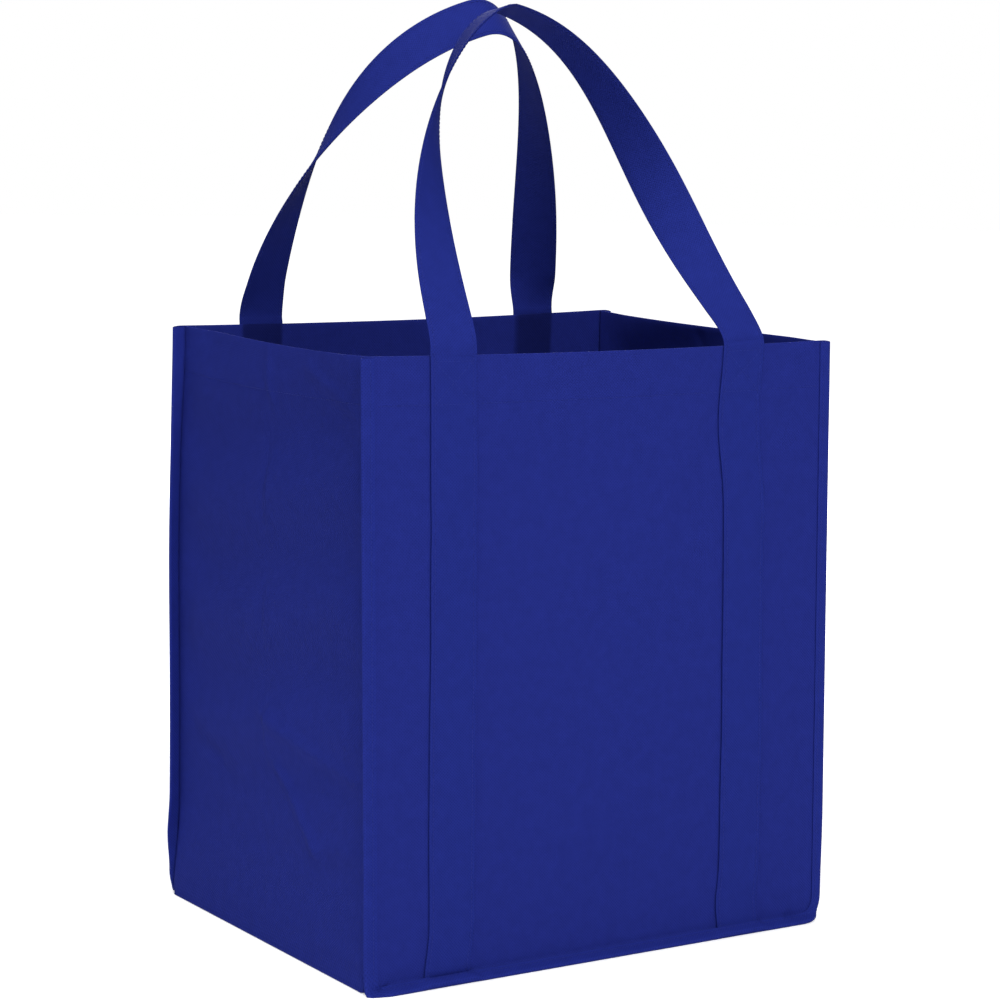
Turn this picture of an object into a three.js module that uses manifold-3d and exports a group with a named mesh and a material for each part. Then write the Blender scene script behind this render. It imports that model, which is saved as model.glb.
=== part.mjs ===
// A non-woven polypropylene grocery tote: two face panels, one gusset strip that runs down one side,
// under the base and up the other side, a folded binding over each outward seam, two long strap
// handles sewn down the outside of the panels, and a loose board that keeps the base flat.
// Millimetres, +Z up, the floor at z = 0 and the front panel towards -Y.
import * as THREE from "three";
import { mergeVertices } from "three/addons/utils/BufferGeometryUtils.js";
import Module from "manifold-3d";

const wasm = await Module();
wasm.setup();

// Body: the seams are the lines where the panels meet the gusset strip.
const bodyWidth = 327;
const bodyHeight = 381;
const rimDepth = 250;
const baseDepth = 260;
const cloth = 0.45;
const layerGap = 0.3;
const hemDepth = 30;
const seamAllowance = 8;
const cornerRadius = 19;
const lipSlope = THREE.MathUtils.degToRad(22);
const lipEdgeHeight = 1.5;
const bendRadius = 3.5;
const baseSlopeRun = 8;

// Binding tape, folded over the cut edges of each seam.
const bindingSetback = 0.3;
const bindingBackStart = 1.6;
const bumpRamp = 5;

// Handles: one folded strap each, from the bottom seam over the loop to the bottom seam again.
const strapWidth = 32;
const strapThickness = 1.2;
const strapSpacing = 214;
const loopRise = 204;
const strapLift = 1;

// Each loop is two curves that meet at its crown. Offset is the crown's place right of the middle,
// standoff its distance from the bag's middle plane, drop how far it lies under loopRise. The crown's
// heading is 1 along X with the skew and slope given. A leg leaves the rim towards a knee that is
// lean in from its panel and rise above the rim, and reach is its pull on the crown.
// Turn gives the stretch, as shares of the loop, over which each leg twists a quarter turn.
const frontLoop = {
  crown: { offset: -18, standoff: 36, drop: 0, skew: 0, slope: -0.21 },
  left: { rise: 131, lean: 82, reach: 32, turn: [0, 0.53] },
  right: { rise: 63, lean: 88, reach: 83, turn: [0.49, 1] },
  tilt: THREE.MathUtils.degToRad(7),
};
const backLoop = {
  crown: { offset: -11, standoff: 14, drop: 4, skew: -0.22, slope: 0.29 },
  left: { rise: 30, lean: -12, reach: 108, turn: [0, 0.43] },
  right: { rise: 75, lean: -6, reach: 54, turn: [0.6, 1] },
  tilt: THREE.MathUtils.degToRad(42),
};

// Board that lies loose on the base.
const boardThickness = 2;
const boardClearance = 0.3;
const boardEndRoom = 9.5;
const boardSideRoom = 9;
const boardCorner = 6;

// How finely curves are cut into flat faces.
const cornerSteps = 16;
const bendSteps = 6;
const foldSteps = 6;
const lipSteps = 6;
const bindingSteps = 4;
const wrapSteps = 4;
const foldLimit = 0.7;
const loopSteps = 44;

const front = -1;
const back = 1;
const blue = new THREE.Color("#262e80");
const layer = cloth + layerGap;
const foldRadius = layer / 2;
const seamX = bodyWidth / 2;
const edgeX = seamX + seamAllowance;
const seamRadius = cornerRadius - seamAllowance;
const strapDepth = cloth / 2 + layerGap + strapThickness / 2;

// The panel's section, followed up from its cut bottom edge: a lip that slopes to the seam, a small
// bend there, and the upright face that leans in to the rim. Headings are angles in the plane of
// outward distance and height.
const lipHeading = Math.PI - lipSlope;
const seamHeight = lipEdgeHeight + seamAllowance * Math.sin(lipSlope);
const faceRise = bodyHeight - foldRadius - cloth / 2 - seamHeight;
const faceHeading = Math.atan2(faceRise, (rimDepth - baseDepth) / 2);
const bendAngle = lipHeading - faceHeading;
const bendTangent = bendRadius * Math.tan(bendAngle / 2);
const lipLength = seamAllowance - bendTangent;
const bendLength = bendRadius * bendAngle;
const faceLength = faceRise / Math.sin(faceHeading) - bendTangent;
const rimUp = lipLength + bendLength + faceLength;
const lipTip = baseDepth / 2 + seamAllowance * Math.cos(lipSlope);

function step(point, heading, distance) {
  return [point[0] + distance * Math.cos(heading), point[1] + distance * Math.sin(heading)];
}

function panelSection(up) {
  const bendStart = step([lipTip, lipEdgeHeight], lipHeading, lipLength);
  if (up <= lipLength) {
    return { at: step([lipTip, lipEdgeHeight], lipHeading, up), heading: lipHeading };
  }
  const turned = Math.min((up - lipLength) / bendRadius, bendAngle);
  const heading = lipHeading - turned;
  const centre = step(bendStart, lipHeading - Math.PI / 2, bendRadius);
  const onBend = step(centre, heading + Math.PI / 2, bendRadius);
  const along = Math.max(up - lipLength - bendLength, 0);
  return { at: step(onBend, heading, along), heading };
}

// A point of a panel: x across, up along its cloth, and depth in from its middle surface.
function panelPoint(side, x, up, depth) {
  const section = panelSection(up);
  const [out, z] = step(section.at, section.heading + Math.PI / 2, depth);
  return new THREE.Vector3(x, side * out, z);
}

// The seam line as stations down the left side, round the base and up the right side. Each has its
// place on the panel, the way out to the cut edge, and how far it has turned under the base.
function seamStations(extraAcross) {
  const stations = [];
  const cornerX = edgeX - cornerRadius;
  for (const x of [-1, 1]) {
    const sideRun = [rimUp - layerGap, rimUp / 2].map(
      (up) => ({ x: x * seamX, up, outX: x, outUp: 0, under: 0 }),
    );
    const corner = [];
    for (let i = 0; i <= cornerSteps; i++) {
      const angle = (i / cornerSteps) * (Math.PI / 2);
      corner.push({
        x: x * (cornerX + seamRadius * Math.cos(angle)),
        up: cornerRadius - seamRadius * Math.sin(angle),
        outX: x * Math.cos(angle),
        outUp: -Math.sin(angle),
        under: Math.sin(angle) ** 2,
      });
    }
    const leg = [...sideRun, ...corner];
    stations.push(...(x < 0 ? leg : leg.reverse()));
    if (x < 0) {
      for (const across of extraAcross) {
        stations.push({ x: across, up: seamAllowance, outX: 0, outUp: -1, under: 1 });
      }
    }
  }
  return stations;
}

function seamPoint(side, station, out, depth) {
  const x = station.x + station.outX * out;
  return panelPoint(side, x, station.up + station.outUp * out, depth);
}

function closedGeometry(points, triangles) {
  const geometry = new THREE.BufferGeometry();
  geometry.setAttribute("position", new THREE.Float32BufferAttribute(points.flatMap((p) => p.toArray()), 3));
  geometry.setIndex(triangles);
  const volume = triangles.reduce((sum, _, i) => {
    if (i % 3) return sum;
    const [a, b, c] = [0, 1, 2].map((k) => points[triangles[i + k]]);
    return sum + a.dot(new THREE.Vector3().crossVectors(b, c));
  }, 0);
  if (volume < 0) {
    geometry.setIndex([...triangles].reverse());
  }
  return geometry;
}

// Joins rings of points into a closed skin with a flat cap at each end. A ring runs out along one face
// of its sheet and back along the other, so the caps are strips between the two.
function loft(rings) {
  const points = rings.flat();
  const width = rings[0].length;
  const triangles = [];
  for (let i = 0; i + 1 < rings.length; i++) {
    for (let j = 0; j < width; j++) {
      const a = i * width + j;
      const b = i * width + ((j + 1) % width);
      triangles.push(a, b, b + width, a, b + width, a + width);
    }
  }
  for (const [start, flip] of [[0, true], [(rings.length - 1) * width, false]]) {
    for (let j = 0; j + 1 < width / 2; j++) {
      const [a, b] = [start + j, start + j + 1];
      const [c, d] = [start + width - 2 - j, start + width - 1 - j];
      const face = c === b ? [a, b, d] : [a, b, c, a, c, d];
      triangles.push(...(flip ? face.reverse() : face));
    }
  }
  return closedGeometry(points, triangles);
}

function direction(from, to) {
  return new THREE.Vector3().subVectors(to, from).normalize();
}

// A sheet of one thickness around a grid of middle-surface points. Each point moves out along the
// mean of its neighbouring faces' normals, lengthened so that folds keep the sheet's thickness. A
// fold that is sharper than foldLimit allows is blunted.
function sheet(grid, thickness) {
  return loft(grid.map((row, i) => {
    const before = grid[Math.max(i - 1, 0)];
    const after = grid[Math.min(i + 1, grid.length - 1)];
    const offsets = row.map((_, j) => {
      const along = direction(before[j], after[j]);
      const normals = [[j - 1, j], [j, j + 1]]
        .filter(([a, b]) => a >= 0 && b < row.length)
        .map(([a, b]) => new THREE.Vector3().crossVectors(direction(row[a], row[b]), along).normalize());
      const mean = normals.reduce((sum, n) => sum.add(n), new THREE.Vector3()).normalize();
      return mean.multiplyScalar(thickness / 2 / Math.max(mean.dot(normals[0]), foldLimit));
    });
    const top = row.map((point, j) => point.clone().add(offsets[j]));
    const bottom = row.map((point, j) => point.clone().sub(offsets[j]));
    return [...top, ...bottom.reverse()];
  }));
}

function toSolid(geometry) {
  const bare = geometry.clone();
  bare.deleteAttribute("normal");
  bare.deleteAttribute("uv");
  const merged = mergeVertices(bare);
  return new wasm.Manifold(new wasm.Mesh({
    numProp: 3,
    vertProperties: Float32Array.from(merged.attributes.position.array),
    triVerts: Uint32Array.from(merged.index.array),
  }));
}

function joined(geometries) {
  const mesh = geometries.map(toSolid).reduce((a, b) => a.add(b)).getMesh();
  const geometry = new THREE.BufferGeometry();
  geometry.setAttribute("position", new THREE.Float32BufferAttribute(mesh.vertProperties, 3));
  geometry.setIndex([...mesh.triVerts]);
  return geometry;
}

function evenly(from, to, steps) {
  return Array.from({ length: steps + 1 }, (_, i) => from + ((to - from) * i) / steps);
}

const bendRows = evenly(lipLength, lipLength + bendLength, bendSteps);

// One face panel: the outside layer with its rounded bottom corners and the hem folded inside it.
function panel(side) {
  const cornerRows = evenly(0, Math.PI / 2, cornerSteps).map((a) => cornerRadius * (1 - Math.cos(a)));
  const rows = [...cornerRows, ...bendRows].sort((a, b) => a - b);
  const grid = [...rows, rimUp].map((up) => {
    const inset = cornerRadius - Math.sqrt(cornerRadius ** 2 - Math.max(cornerRadius - up, 0) ** 2);
    const half = edgeX - inset;
    return [-half, 0, half].map((x) => panelPoint(side, x, up, 0));
  });
  const hemHalf = seamX - layer;
  const upward = direction(panelPoint(side, 0, rimUp - 1, 0), panelPoint(side, 0, rimUp, 0));
  for (const angle of evenly(0, Math.PI, foldSteps).slice(1)) {
    const half = THREE.MathUtils.lerp(edgeX, hemHalf, angle / Math.PI);
    grid.push([-half, 0, half].map((x) => panelPoint(side, x, rimUp, foldRadius * (1 - Math.cos(angle)))
      .addScaledVector(upward, foldRadius * Math.sin(angle))));
  }
  grid.push([-hemHalf, 0, hemHalf].map((x) => panelPoint(side, x, rimUp - hemDepth, layer)));
  return sheet(grid, cloth);
}

// The strip's two cut edges lie flat behind the panels' edges. Between them it is the side wall, and
// under the bag it slopes down from each seam to lie on the floor.
function gussetStrip() {
  const lipPlaces = evenly(seamAllowance - layerGap, 0, lipSteps);
  const grid = seamStations([0]).map((station) => {
    const halfRow = (side) => {
      const lip = lipPlaces.map((out) => seamPoint(side, station, out, layer));
      const seam = lip[lipSteps];
      const drop = (seam.z - cloth / 2) * station.under;
      return [...lip, new THREE.Vector3(station.x, seam.y - side * baseSlopeRun, seam.z - drop)];
    };
    return [...halfRow(front), ...halfRow(back).reverse()];
  });
  const hems = [-1, 1].map((x) => {
    const top = bodyHeight - foldRadius - cloth / 2;
    const half = Math.abs(panelPoint(front, 0, rimUp - hemDepth, 2 * layer).y) - layer;
    const line = [[seamX, top - hemDepth / 2]];
    for (const angle of evenly(0, Math.PI, foldSteps)) {
      line.push([seamX - foldRadius * (1 - Math.cos(angle)), top + foldRadius * Math.sin(angle)]);
    }
    line.push([seamX - layer, top - hemDepth]);
    return sheet(line.map(([out, z]) => [-half, half].map((y) => new THREE.Vector3(x * out, y, z))), cloth);
  });
  return joined([sheet(grid, cloth), ...hems]);
}

// How far the binding rises over a strap end at a place along the bottom seam.
function bindingRise(station) {
  const away = Math.abs(Math.abs(station.x) - strapSpacing / 2) - strapWidth / 2 - layerGap;
  const near = 1 - THREE.MathUtils.clamp(away / bumpRamp, 0, 1);
  return station.outX === 0 ? near * (strapThickness + layerGap) : 0;
}

// Tape folded round the two cut edges, drawn as a ring that follows the seam.
function binding(side) {
  const strapEdges = [-1, 1].flatMap((x) => [-1, 1].map((e) => (x * strapSpacing + e * strapWidth) / 2));
  const across = strapEdges.flatMap((x) => {
    const outward = Math.sign(Math.abs(x) - strapSpacing / 2) * Math.sign(x);
    return [x + outward * layerGap, x + outward * (layerGap + bumpRamp)];
  }).sort((a, b) => a - b);
  const innerTop = -(cloth / 2 + layerGap);
  const innerBottom = layer + cloth / 2 + layerGap;
  const reachOut = (innerBottom - innerTop) / 2;
  const turnOut = seamAllowance - reachOut / 2;
  const rings = seamStations(across).map((station) => {
    const top = innerTop - bindingRise(station);
    const middle = (top + innerBottom) / 2;
    const halfHeight = innerBottom - middle;
    const wrap = (extra) => evenly(-Math.PI / 2, Math.PI / 2, wrapSteps).map((angle) => [
      turnOut + (reachOut + extra) * Math.cos(angle),
      middle + (halfHeight + extra) * Math.sin(angle),
    ]);
    const skin = (extra) => [
      ...evenly(bindingSetback, turnOut, bindingSteps).slice(0, -1).map((out) => [out, top - extra]),
      ...wrap(extra),
      ...evenly(turnOut, bindingBackStart, bindingSteps).slice(1).map((out) => [out, innerBottom + extra]),
    ];
    return [...skin(cloth), ...skin(0).reverse()].map(([out, depth]) => seamPoint(side, station, out, depth));
  });
  return loft(rings);
}

// The loop of a handle: two curves joined at the crown, which start upright at the rim.
function loopPath(side, loop, foot) {
  const feet = [-1, 1].map((x) => new THREE.Vector3((x * strapSpacing) / 2, foot.y, foot.z));
  const { offset, standoff, drop, skew, slope } = loop.crown;
  const crown = new THREE.Vector3(offset, side * standoff, bodyHeight + loopRise - drop);
  const heading = new THREE.Vector3(1, skew, slope).normalize();
  const knee = (start, leg) => start.clone().add(new THREE.Vector3(0, -side * leg.lean, leg.rise));
  const path = new THREE.CurvePath();
  path.add(new THREE.CubicBezierCurve3(
    feet[0], knee(feet[0], loop.left), crown.clone().addScaledVector(heading, -loop.left.reach), crown,
  ));
  path.add(new THREE.CubicBezierCurve3(
    crown, crown.clone().addScaledVector(heading, loop.right.reach), knee(feet[1], loop.right), feet[1],
  ));
  return path;
}

// One handle strap, as a row of points across it at each place along it.
function handle(side, loop) {
  const across = (centre, widthways) => [-0.5, 0, 0.5].map(
    (share) => centre.clone().addScaledVector(widthways, share * strapWidth),
  );
  const uprightRow = (x, up, widthways) => across(panelPoint(side, x, up, -strapDepth), widthways);
  const foot = panelPoint(side, 0, rimUp + foldRadius + cloth / 2 + strapLift, -strapDepth);
  const legRows = [layerGap, ...bendRows, rimUp / 2];
  const rightward = new THREE.Vector3(1, 0, 0);
  const leftward = new THREE.Vector3(-1, 0, 0);
  const path = loopPath(side, loop, foot);
  const loopRows = evenly(0, 1, loopSteps).map((share) => {
    const quarter = ([from, to]) => THREE.MathUtils.smoothstep(share, from, to) * (Math.PI / 2);
    const turn = quarter(loop.left.turn) + quarter(loop.right.turn);
    const tangent = path.getTangentAt(share);
    const widthways = new THREE.Vector3(
      Math.cos(turn),
      Math.sin(turn) * Math.cos(loop.tilt),
      side * Math.sin(turn) * Math.sin(loop.tilt),
    );
    widthways.addScaledVector(tangent, -widthways.dot(tangent)).normalize();
    return across(path.getPointAt(share), widthways);
  });
  return sheet([
    ...legRows.map((up) => uprightRow(-strapSpacing / 2, up, rightward)),
    ...loopRows,
    ...[...legRows].reverse().map((up) => uprightRow(strapSpacing / 2, up, leftward)),
  ], strapThickness);
}

function board() {
  const halfX = seamX - boardEndRoom;
  const halfY = baseDepth / 2 - boardSideRoom;
  const outline = new THREE.Shape();
  const corners = [[1, 1, 0], [-1, 1, 1], [-1, -1, 2], [1, -1, 3]];
  for (const [x, y, quarter] of corners) {
    const start = (quarter * Math.PI) / 2;
    const centre = [x * (halfX - boardCorner), y * (halfY - boardCorner)];
    outline.absarc(centre[0], centre[1], boardCorner, start, start + Math.PI / 2, false);
  }
  const geometry = new THREE.ExtrudeGeometry(outline, {
    depth: boardThickness,
    bevelEnabled: false,
    curveSegments: cornerSteps,
  });
  return geometry.translate(0, 0, cloth + boardClearance);
}

function piece(name, geometry, color, roughness) {
  const material = new THREE.MeshStandardMaterial({ color, roughness, metalness: 0 });
  const mesh = new THREE.Mesh(geometry, material);
  mesh.name = name;
  return mesh;
}

const tote = new THREE.Group();
const clothRoughness = 0.8;
tote.add(piece("front_panel", panel(front), blue, clothRoughness));
tote.add(piece("back_panel", panel(back), blue, clothRoughness));
tote.add(piece("gusset_strip", gussetStrip(), blue, clothRoughness));
tote.add(piece("front_binding", binding(front), blue, clothRoughness));
tote.add(piece("back_binding", binding(back), blue, clothRoughness));
tote.add(piece("front_handle", handle(front, frontLoop), blue, clothRoughness));
tote.add(piece("back_handle", handle(back, backLoop), blue, clothRoughness));
tote.add(piece("base_board", board(), new THREE.Color("#1c1d22"), 0.5));

export default tote;
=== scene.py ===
# %% [markdown]
# A tote bag of non-woven cloth is flat pieces of one thin sheet, folded, bound and sewn. It could be
# modelled as a box with thick walls, but then no seam, hem or strap would lie as it does on the bag.
# Here each piece is cut flat as a grid, keeps its flat measure as a UV map, and is then folded to its
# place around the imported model.

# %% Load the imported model
import math

import bpy
import numpy as np
from mathutils import Matrix, Vector


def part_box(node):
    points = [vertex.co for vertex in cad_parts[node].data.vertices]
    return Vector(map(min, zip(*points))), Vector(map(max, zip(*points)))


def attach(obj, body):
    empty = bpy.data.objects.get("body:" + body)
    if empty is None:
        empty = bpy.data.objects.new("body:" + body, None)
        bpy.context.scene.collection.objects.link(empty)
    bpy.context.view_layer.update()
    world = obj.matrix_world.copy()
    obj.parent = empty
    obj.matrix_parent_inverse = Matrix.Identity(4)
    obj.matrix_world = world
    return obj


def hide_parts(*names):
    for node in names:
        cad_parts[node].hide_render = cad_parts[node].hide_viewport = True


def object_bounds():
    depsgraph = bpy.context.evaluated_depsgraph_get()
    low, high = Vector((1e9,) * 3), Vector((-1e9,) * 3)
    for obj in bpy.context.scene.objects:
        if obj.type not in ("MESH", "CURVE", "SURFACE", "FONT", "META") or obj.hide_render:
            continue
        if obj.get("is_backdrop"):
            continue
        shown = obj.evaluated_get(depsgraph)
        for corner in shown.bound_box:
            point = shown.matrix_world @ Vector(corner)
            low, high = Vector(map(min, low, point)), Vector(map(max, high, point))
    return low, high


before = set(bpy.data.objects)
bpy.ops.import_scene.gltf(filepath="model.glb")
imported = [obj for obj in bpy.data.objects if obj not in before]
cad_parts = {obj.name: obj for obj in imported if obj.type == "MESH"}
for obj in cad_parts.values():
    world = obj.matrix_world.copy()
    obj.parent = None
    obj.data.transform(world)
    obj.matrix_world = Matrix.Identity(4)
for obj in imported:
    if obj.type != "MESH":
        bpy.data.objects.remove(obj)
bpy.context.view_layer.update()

MM = 0.001

# %% [markdown]
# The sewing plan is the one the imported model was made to. Overall sizes are read from its nodes, and
# the small ones, such as seam allowance and cloth, are named here in millimetres.

# %% Sizes of the sewing plan
edge_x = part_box("front_panel")[1].x / MM
body_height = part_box("gusset_strip")[1].z / MM
strap_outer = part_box("front_handle")[1].x / MM
cloth = 0.45
layer_gap = 0.3
hem_depth = 30
seam_allowance = 8
corner_radius = 19
rim_depth = 250
base_depth = 260
lip_slope = math.radians(22)
lip_edge_height = 1.5
bend_radius = 3.5
base_slope_run = 4
strap_width = 32
strap_thickness = 1.2
strap_lift = 1

layer = cloth + layer_gap
fold_radius = layer / 2
seam_x = edge_x - seam_allowance
seam_radius = corner_radius - seam_allowance
corner_x = edge_x - corner_radius
corner_end = corner_x + seam_radius * math.pi / 2
strap_x = strap_outer - strap_width / 2
strap_depth = cloth / 2 + layer_gap + strap_thickness / 2
FRONT, BACK = -1, 1
print("seam to seam", round(2 * seam_x, 1), "height", round(body_height, 1), "straps at", round(strap_x, 1))

# %% [markdown]
# Seen from the side, a panel starts as a short lip under the bag, turns up in a tight bend at the
# seam and leans in to the rim. The section is followed by the distance up along the cloth, so a
# length on the flat piece is the same length on the bag.

# %% The panel's section
lip_heading = math.pi - lip_slope
seam_height = lip_edge_height + seam_allowance * math.sin(lip_slope)
face_rise = body_height - fold_radius - cloth / 2 - seam_height
face_heading = math.atan2(face_rise, (rim_depth - base_depth) / 2)
bend_angle = lip_heading - face_heading
lip_length = seam_allowance - bend_radius * math.tan(bend_angle / 2)
bend_length = bend_radius * bend_angle
face_length = face_rise / math.sin(face_heading) - bend_radius * math.tan(bend_angle / 2)
rim_up = lip_length + bend_length + face_length
lip_tip = base_depth / 2 + seam_allowance * math.cos(lip_slope)


def heading_point(angle, distance):
    return np.array([np.cos(angle), np.sin(angle)]) * distance


def panel_section(up):
    """Outward distance, height and heading of the panel's middle surface."""
    up = np.asarray(up, float)
    turned = np.clip((up - lip_length) / bend_radius, 0, bend_angle)
    heading = lip_heading - turned
    along = np.maximum(up - lip_length - bend_length, 0)
    short = np.maximum(lip_length - up, 0)
    start = np.array([lip_tip, lip_edge_height]) + heading_point(lip_heading, lip_length)
    centre = start + heading_point(lip_heading - math.pi / 2, bend_radius)
    at = centre[:, None] + heading_point(heading.ravel() + math.pi / 2, bend_radius)
    at = at + heading_point(heading.ravel(), along.ravel())
    at = at - heading_point(lip_heading, 1)[:, None] * short.ravel()
    return at[0].reshape(up.shape), at[1].reshape(up.shape), heading


print("panel from cut edge to rim", round(rim_up, 1), "mm")

# %% [markdown]
# Thin cloth never stands quite flat. It carries shallow swells and soft creases, strongest where the
# straps pull. A cloth simulation could give such swells, but they would not fall where the bag has
# them, so each one is a named stroke here, a few millimetres high at most.


# %% Strokes that shape cloth
def ramp(value, start, end):
    """Rises smoothly from 0 at start to 1 at end."""
    share = np.clip((value - start) / (end - start), 0, 1)
    return share * share * (3 - 2 * share)


def hump(value, centre, reach):
    """1 at the centre, dying out over the reach on both sides."""
    return np.exp(-(((value - centre) / reach) ** 2))


def crease(a, b, start, end, width, height):
    """A soft ridge along a line, in millimetres on the face, that dies out past its ends."""
    start = np.array(start, float)
    run = np.array(end, float) - start
    length = np.hypot(*run)
    along = ((a - start[0]) * run[0] + (b - start[1]) * run[1]) / length
    across = ((a - start[0]) * run[1] - (b - start[1]) * run[0]) / length
    beyond = np.maximum(np.maximum(-along, along - length), 0)
    return height * np.exp(-((across / width) ** 2) - (beyond / (2 * width)) ** 2)


def swell(a, b, centre, radius, height):
    return height * np.exp(-(((a - centre[0]) / radius[0]) ** 2) - ((b - centre[1]) / radius[1]) ** 2)


def unevenness(a, b, phase):
    """Low waves of cloth that has been packed flat, from a few fixed sines."""
    waves = ((0.031, 0.012, 1.0), (-0.017, 0.041, 0.8), (0.052, -0.037, 0.45), (0.023, 0.083, 0.35))
    return sum(
        height * np.sin(across * a + along * b + phase * (2 + i))
        for i, (across, along, height) in enumerate(waves)
    )


print("a ramp a third of the way up:", round(float(ramp(1, 0, 3)), 2))

# %% [markdown]
# The front is creased towards its right strap and gathered in three places just above the bottom seam,
# where the binding took up slack. The back isn't seen, so it gets only a low swell.

# %% Swells, creases and gathers of the faces
front_swell = (10, 190), (95, 110), 1.6
back_swell = (0, 200), (100, 120), 1.2
front_creases = (
    ((118, 330), (152, 372), 7, 1.1), ((112, 268), (160, 322), 8, 0.9),
    ((58, 325), (20, 215), 13, 0.8), ((-120, 285), (-82, 330), 9, 0.6),
)
front_puckers = (-167, -149, 1.6), (-131, -94, 1.7), (138, 158, 1.3)
pucker_up = 7.8
pucker_width = 1.6
pucker_pitch = 3.7
seam_groove = 0.3
groove_width = 2.2


def pucker(x, up, start, end, depth):
    """A short stretch of gathered cloth just above the bottom seam."""
    there = ramp(x, start, start + 5) * (1 - ramp(x, end - 9, end))
    ripple = 0.6 + 0.4 * np.sin(x * 2 * math.pi / pucker_pitch + up * 0.5)
    return -depth * there * ripple * hump(up, pucker_up, pucker_width)


def face_relief(side, x, up):
    """How far a face panel stands out of its plane. Nothing at the seams."""
    near_seam = ramp(seam_x - np.abs(x), 2, 45) * ramp(up, 14, 70)
    out = 0.45 * unevenness(x, up, 1.3 if side == FRONT else 2.9)
    out = out + swell(x, up, *(front_swell if side == FRONT else back_swell))
    groove = -seam_groove * hump(up, pucker_up, groove_width) * ramp(seam_x - np.abs(x), 0, 6)
    if side == FRONT:
        for stroke in front_creases:
            out = out + crease(x, up, *stroke)
        for gather in front_puckers:
            groove = groove + pucker(x, up, *gather)
    return out * near_seam + groove


print("front swells by, mm:", round(float(face_relief(FRONT, 10, np.float64(190))), 2))

# %% [markdown]
# A side wall is held only at its two seams. It stands out a little between them, it carries low bands
# from the turns it was packed in, and a fold runs down its middle. Sharp creases cross it lower down.

# %% Bands, fold and creases of the side walls
bulge_height, bulge_reach = 3.0, 70
band_height, band_pitch, band_slant, band_phase = 3.0, 75, 0.2, -0.5
fold_y, fold_width, fold_depth = 5, 3.5, 0.7
fold_sharp_up, fold_sharp_run = 302, 24
wall_unevenness = 0.35
side_creases = (
    ((2, 148), (-100, 127), 5.0, -2.2), ((-12, 116), (-58, 76), 4.0, -2.2),
    ((-58, 76), (-104, 86), 5.0, -1.6), ((105, 120), (68, 106), 8.0, 2.0),
    ((-55, 371), (-100, 349), 5.0, -1.6), ((4, 376), (-3, 352), 3.5, -1.0),
)


def side_relief(which, y, up):
    """How far a side wall sinks in, at a place across it and up it. Negative where it stands out."""
    near_seam = ramp(rim_depth / 2 - np.abs(y), 2, 38) * ramp(up, 20, 60)
    sharpness = 0.3 + 0.7 * hump(up, fold_sharp_up, fold_sharp_run)
    fold = fold_depth * hump(y, fold_y, fold_width) * sharpness
    bulge = bulge_height * np.sin(np.pi * np.clip(up / rim_up, 0, 1)) * hump(y, 0, bulge_reach)
    turns = (up + band_slant * y) * 2 * math.pi / band_pitch
    bands = band_height * np.sin(turns + band_phase) * ramp(up, 60, 140)
    sharp = sum(crease(y, up, *stroke) for stroke in side_creases)
    low_waves = wall_unevenness * unevenness(y, up, 0.7 + which)
    return (bands + sharp - bulge + low_waves) * near_seam + fold * ramp(up, 24, 60)


print("left wall stands out, mm:", round(-float(side_relief(-1, 0, np.float64(190))), 2))

# %% [markdown]
# The bag also settles as a whole. The foot of its front stands a few millimetres to the right of its
# rim, the rim hangs between its corners, and one corner stands high. The stiff board presses the fold
# under each side into a crisp edge, and the slack of the side walls spreads out over the floor. The
# left flange of the back seam leans a little forward. Every piece and every stitch goes through this
# one function last, so nothing that is sewn together can part.

# %% How the bag settles
front_lean = 4.0
front_sag, back_sag, left_sag, right_sag = 1.7, 1.8, 2.1, 0.8
raised_corner = 2.7
back_bulge, back_bulge_up, back_bulge_reach = 1.7, 240, 85
foot_tuck, foot_tuck_up = 1.2, 75
flange_turn = math.radians(20)
flange_shift = 2.0
flange_gather = 110
flange_from, flange_until = (15, 60), (290, 375)
base_crispness = 1.0
front_crispness, back_crispness = (0.95, 0.1), (0.4, 0.3)
left_spread, right_spread = 7.7, 6.0
spread_slant = 0.006
spread_up = 72
loop_settle = 150


def crisp_base(x, y, z):
    """Draws the rounded corners under the left and right sides out towards a square fold."""
    turn_z = seam_height + seam_radius
    to_seam = ramp(np.abs(y), base_depth / 2 - 9, base_depth / 2 - 1)
    tall = 1 + (1 - to_seam) * (seam_height - cloth / 2) / seam_radius
    sideways = np.maximum(np.abs(x) - corner_x, 0)
    down = np.maximum(turn_z - z, 0) / tall
    largest = np.maximum(np.maximum(sideways, down), 1e-6)
    at_seam = np.where(y < 0, np.where(x < 0, *front_crispness), np.where(x < 0, *back_crispness))
    share = base_crispness * (1 - to_seam) + at_seam * to_seam
    stretch = np.where((sideways > 0) & (down > 0), share * (np.hypot(sideways, down) / largest - 1), 0)
    lowered = np.maximum(z - down * tall * stretch, np.minimum(z, cloth / 2))
    return x + np.sign(x) * sideways * stretch, lowered


def base_spread(x, y, z):
    """How far the slack foot of a side wall stands out past its seams."""
    between_seams = 1 - ramp(np.abs(y), base_depth / 2 - 6, base_depth / 2 - 0.3)
    outer = ramp(np.abs(x), 112, seam_x - 2) * (1 - ramp(z, 2, spread_up))
    return np.where(x < 0, -left_spread - spread_slant * y, right_spread) * between_seams * outer


def turn_flange(x, y, z):
    """Turns the back seam's left flange forward, and moves the seam out so that the edge stays."""
    share = ramp(z, *flange_from) * (1 - ramp(z, *flange_until))
    out = np.maximum(-seam_x - x, 0) * (y > 0)
    near_seam = ramp(-x, flange_gather, seam_x - 2) * np.clip(0.5 + y / rim_depth, 0, 1)
    angle = flange_turn * share
    return x + out * (1 - np.cos(angle)) - flange_shift * share * near_seam, y - out * np.sin(angle)


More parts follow.
